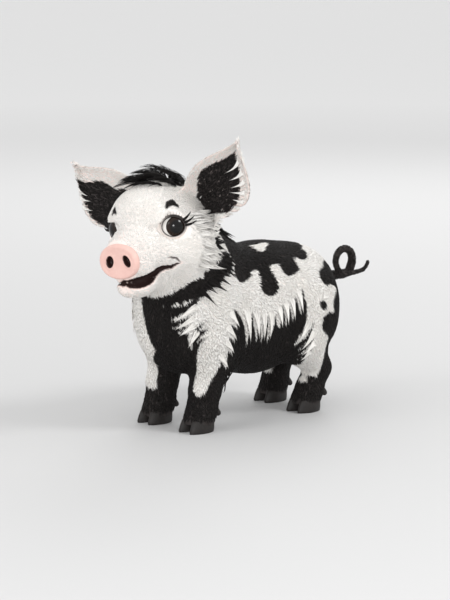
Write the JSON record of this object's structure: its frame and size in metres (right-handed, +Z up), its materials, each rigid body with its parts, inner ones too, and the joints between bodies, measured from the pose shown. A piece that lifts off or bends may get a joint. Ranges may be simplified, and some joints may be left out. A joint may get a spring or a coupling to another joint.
{
  "type": "standing piglet figure",
  "caption": "Life-size young pig standing on its four cloven feet, head turned, ears pricked, shaggy piebald coat and a curled tail; a still display animal.",
  "frame": {"origin": "centre of the bottom of the pig's bounding box, on the floor that it stands on", "axes": "the pig faces -Y, its left side is +X, and +Z is up"},
  "size_m": [0.2682, 0.4518, 0.3665],
  "materials": {
    "coat": "matt, bristly hair",
    "nose": "soft, slightly moist skin",
    "ear": "thin matt skin",
    "eye": "wet gloss",
    "hoof": "satin horn"
  },
  "bodies": {
    "root": {"head": "coat", "lower_jaw": "coat", "snout": "nose", "ear_left": "ear", "eye_left": "eye", "ear_right": "ear", "eye_right": "eye", "neck": "coat", "torso": "coat", "tail": "coat", "foreleg_left": "coat", "foreleg_left_claw_outer": "hoof", "foreleg_left_dewclaw_outer": "hoof", "foreleg_left_claw_inner": "hoof", "foreleg_left_dewclaw_inner": "hoof", "foreleg_right": "coat", "foreleg_right_claw_outer": "hoof", "foreleg_right_dewclaw_outer": "hoof", "foreleg_right_claw_inner": "hoof", "foreleg_right_dewclaw_inner": "hoof", "hindleg_left": "coat", "hindleg_left_claw_outer": "hoof", "hindleg_left_dewclaw_outer": "hoof", "hindleg_left_claw_inner": "hoof", "hindleg_left_dewclaw_inner": "hoof", "hindleg_right": "coat", "hindleg_right_claw_outer": "hoof", "hindleg_right_dewclaw_outer": "hoof", "hindleg_right_claw_inner": "hoof", "hindleg_right_dewclaw_inner": "hoof"}
  },
  "joints": []
}
